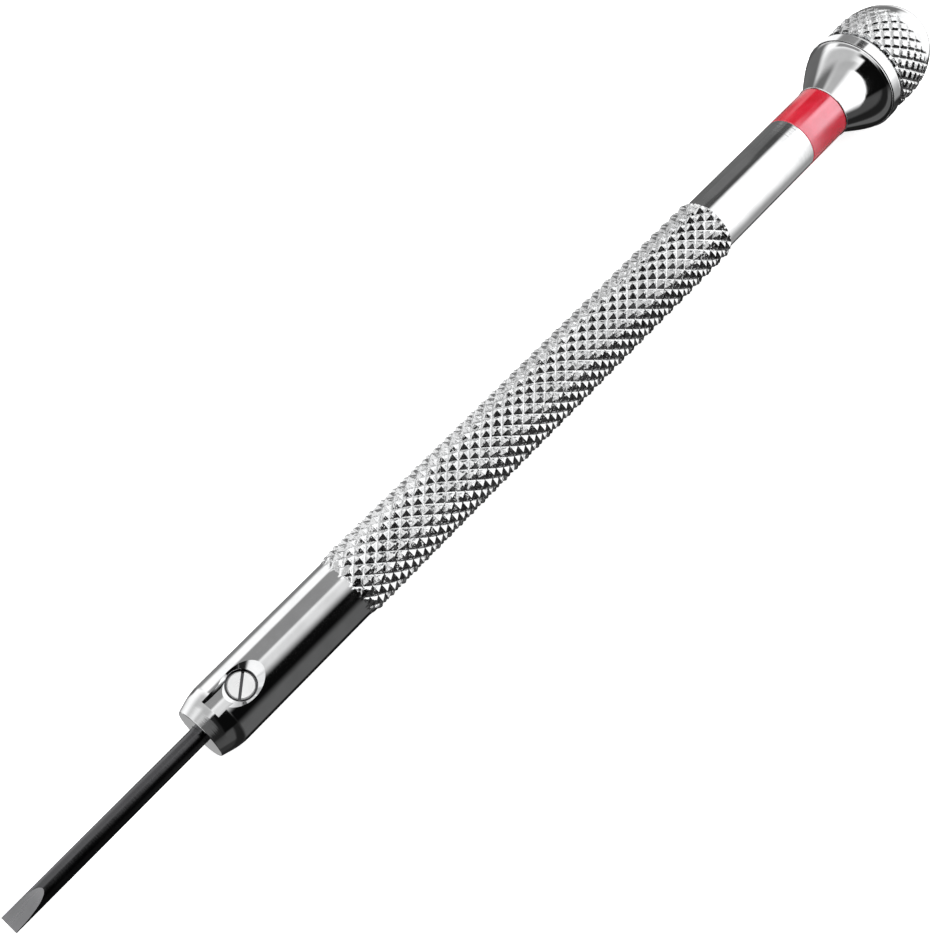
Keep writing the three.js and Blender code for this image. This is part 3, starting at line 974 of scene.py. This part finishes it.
# Small curved cards close to the head, at this distance from the axis: (from, to, softness) in
# degrees round it, (from, to, softness) along it, brightness.
HEAD_CARD_RADIUS = 13 * MM
HEAD_CARDS = {
    "white_card": ((-20, 62, 22), (66 * MM, 75 * MM, 0.4 * MM), 1.5),
    "grey_card": ((-154, -98, 16), (74 * MM, 84 * MM, 2 * MM), 0.16),
    "small_grey_card": ((-106, -60, 14), (71 * MM, 76 * MM, 2 * MM), 0.17),
}


def head_card(name, around, along, brightness):
    """A soft-edged, curved card that only reflections see."""
    steps = 32
    to_camera, across = view_directions()
    vertices = []
    for degrees in np.linspace(around[0] - around[2], around[1] + around[2], steps + 1):
        angle = math.radians(degrees)
        out = (to_camera * math.cos(angle) + across * math.sin(angle)) * HEAD_CARD_RADIUS
        vertices += [(x, out.y, out.z) for x in (along[0] - along[2], along[1] + along[2])]
    faces = [(2 * k, 2 * k + 1, 2 * k + 3, 2 * k + 2) for k in range(steps)]
    card = new_object(name, vertices, faces)
    paint(card, card_material(name, around, along, brightness))
    card.visible_camera = False
    card.visible_diffuse = False
    card.visible_shadow = False


def card_material(name, around, along, brightness):
    """A glow that fades into nothing at the card's sides."""
    material = bpy.data.materials.new(name)
    tree, shader = nodes_of(material)
    tree.nodes.remove(shader)
    position = add_node(tree, "ShaderNodeTexCoord").outputs["Object"]
    length = dot_with(tree, position, (1, 0, 0))
    mask = patch_mask(tree, degrees_round(tree, position), length, around, along)
    glow = add_node(tree, "ShaderNodeEmission", Strength=brightness)
    clear = add_node(tree, "ShaderNodeBsdfTransparent")
    mix = add_node(tree, "ShaderNodeMixShader")
    tree.links.new(mask, mix.inputs[0])
    tree.links.new(clear.outputs[0], mix.inputs[1])
    tree.links.new(glow.outputs[0], mix.inputs[2])
    tree.links.new(mix.outputs[0], tree.nodes["Material Output"].inputs["Surface"])
    return material


def degrees_round(tree, vector):
    """The angle of a vector round the tool's axis, from the side that faces the camera."""
    to_camera, across = view_directions()
    front, side = dot_with(tree, vector, to_camera), dot_with(tree, vector, across)
    return math_node(tree, "MULTIPLY", math_node(tree, "ARCTAN2", side, front), 180 / math.pi)


def math_node(tree, operation, first, second=None):
    node = add_node(tree, "ShaderNodeMath", operation=operation)
    for socket, value in zip(node.inputs, (first, second)):
        if value is None:
            continue
        if isinstance(value, (int, float)):
            socket.default_value = value
        else:
            tree.links.new(value, socket)
    return node.outputs[0]


def step_mask(tree, value, start, end, softness):
    """1 between start and end, with soft sides."""
    half = softness / 2
    rising = remap(tree, value, start - half, start + half, 0, 1, "SMOOTHSTEP")
    falling = remap(tree, value, end - half, end + half, 1, 0, "SMOOTHSTEP")
    return math_node(tree, "MULTIPLY", rising, falling)


def patch_mask(tree, around, along, round_span, along_span):
    """1 inside a card's spans round the axis and along it, with soft sides."""
    round_mask = step_mask(tree, around, *round_span)
    return math_node(tree, "MULTIPLY", round_mask, step_mask(tree, along, *along_span))


def dot_with(tree, vector, direction):
    node = add_node(tree, "ShaderNodeVectorMath", operation="DOT_PRODUCT")
    tree.links.new(vector, node.inputs[0])
    node.inputs[1].default_value = direction
    return node.outputs["Value"]


def light_tent():
    world = bpy.data.worlds.new("light_tent")
    bpy.context.scene.world = world
    world.use_nodes = True
    tree = world.node_tree
    tree.nodes.clear()
    direction = add_node(tree, "ShaderNodeTexCoord").outputs["Generated"]
    around = degrees_round(tree, direction)
    along = dot_with(tree, direction, (1, 0, 0))
    lean = math_node(tree, "MULTIPLY", math_node(tree, "ARCSINE", along), 180 / math.pi)
    to_camera, across = view_directions()
    edge = Vector((1, 0, 0)) * TENT_EDGE[0] + to_camera * TENT_EDGE[1] + across * TENT_EDGE[2]
    bright_side = dot_with(tree, direction, edge)
    value = remap(tree, bright_side, *TENT_FADE, TENT_DIM, TENT_BRIGHT, "SMOOTHSTEP")
    for round_span, along_span, brightness in TENT_CARDS:
        mask = patch_mask(tree, around, lean, round_span, along_span)
        mix = add_node(tree, "ShaderNodeMix", data_type="FLOAT")
        tree.links.new(mask, mix.inputs[0])
        tree.links.new(value, mix.inputs[2])
        mix.inputs[3].default_value = brightness
        value = mix.outputs[0]
    tent = add_node(tree, "ShaderNodeBackground")
    tree.links.new(value, tent.inputs["Strength"])
    plain = add_node(tree, "ShaderNodeBackground", Strength=1.0)
    plain.inputs["Color"].default_value = (1, 1, 1, 1)
    rays = add_node(tree, "ShaderNodeLightPath")
    choice = add_node(tree, "ShaderNodeMixShader")
    tree.links.new(rays.outputs["Is Camera Ray"], choice.inputs[0])
    tree.links.new(tent.outputs[0], choice.inputs[1])
    tree.links.new(plain.outputs[0], choice.inputs[2])
    output = add_node(tree, "ShaderNodeOutputWorld")
    tree.links.new(choice.outputs[0], output.inputs["Surface"])


# ---------------------------------------------------------------- assembly

def fit(piece, material, body, slot, *nodes):
    paint(piece, material)
    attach(piece, body)
    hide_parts(*nodes)


def build():
    chrome = metal("chrome", (0.88, 0.885, 0.89), 0.06, 0.0008 * MM, variation=0.025)
    rolled = metal(
        "rolled_chrome", (0.88, 0.885, 0.89), 0.07, 0.0008 * MM, variation=0.03,
        dent_scale=4500, dent_depth=0.04 * MM,
    )
    mirror = metal("mirror_chrome", (0.87, 0.875, 0.88), 0.05, 0.0006 * MM, variation=0.02)
    # Black oxide: the blade's own finish, and also painted shade in the screw's slot and in the
    # relief round the screw
    oxide_and_painted_shade = metal("black_oxide_and_painted_shade", (0.12, 0.12, 0.125), 0.17, 0.002 * MM, (12000, 900, 900), 0.05)
    ground = metal("ground_steel", (0.36, 0.36, 0.37), 0.28, 0.002 * MM, (400, 9000, 400))
    steel = metal("turned_steel", (0.94, 0.94, 0.94), 0.24, 0.003 * MM, (900, 900, 900), bare=0.65)
    race_steel = metal("bearing_steel", (0.62, 0.63, 0.64), 0.12, 0.001 * MM)
    brass = metal("brass", (0.72, 0.52, 0.22), 0.25, 0.002 * MM)

    grip, driver, clamp = handle(), blade(), set_screw()
    fit(grip, chrome, "handle", "handle", "handle_body")
    # Painted shade, partly real: the relief round the screw is painted black for the shadow in its
    # narrow gap and the dark, unplated bottom of the hole
    give_finish_or_painted_shade(grip, oxide_and_painted_shade, in_relief)
    give_finish_or_painted_shade(grip, rolled, in_grip_knurl)
    fit(driver, oxide_and_painted_shade, "blade", "blade", "blade")
    give_finish_or_painted_shade(driver, ground, on_flat)
    fit(clamp, steel, "set_screw", "set_screw", "set_screw")
    # Painted shade: the screw's slot is painted black, though it is the screw's own steel
    give_finish_or_painted_shade(clamp, oxide_and_painted_shade, in_slot)
    fit(size_ring(), red_lacquer(), "handle", "colour_ring", "colour_ring")
    fit(bell(), mirror, "handle", "bell", "bell_housing")
    cap = finger_cap()
    fit(cap, chrome, "swivel_head", "cap", "swivel_cap")
    give_finish_or_painted_shade(cap, rolled, in_cap_knurl)
    outer, inner = bearing_rings()
    fit(outer, race_steel, "handle", "bearing_steel", "bearing_outer_ring")
    fit(inner, race_steel, "swivel_head", "bearing_steel", "bearing_inner_ring")
    fit(ball_cage(), brass, "cage", "cage", "ball_cage")
    for number in range(1, BALL_COUNT + 1):
        node = f"bearing_ball_{number}"
        fit(ball(number), race_steel, f"ball_{number}", "bearing_balls", node)
    shield_bore = 1.5 * MM
    front = flat_ring("front_shield", "bearing_front_shield", shield_bore)
    fit(front, race_steel, "handle", "shields", "bearing_front_shield")
    rear = flat_ring("rear_shield", "bearing_rear_shield", shield_bore)
    fit(rear, race_steel, "handle", "shields", "bearing_rear_shield")
    washer = flat_ring("stem_washer", "retaining_washer", 0.5 * MM)
    fit(washer, steel, "swivel_head", "fasteners", "retaining_washer")
    fit(retaining_screw(), steel, "swivel_head", "fasteners", "retaining_screw")


build()
floor(floor_material())
camera()
lamp()
light_tent()
for card_name, card_place in HEAD_CARDS.items():
    head_card(card_name, *card_place)
bpy.context.scene.view_settings.view_transform = "Standard"
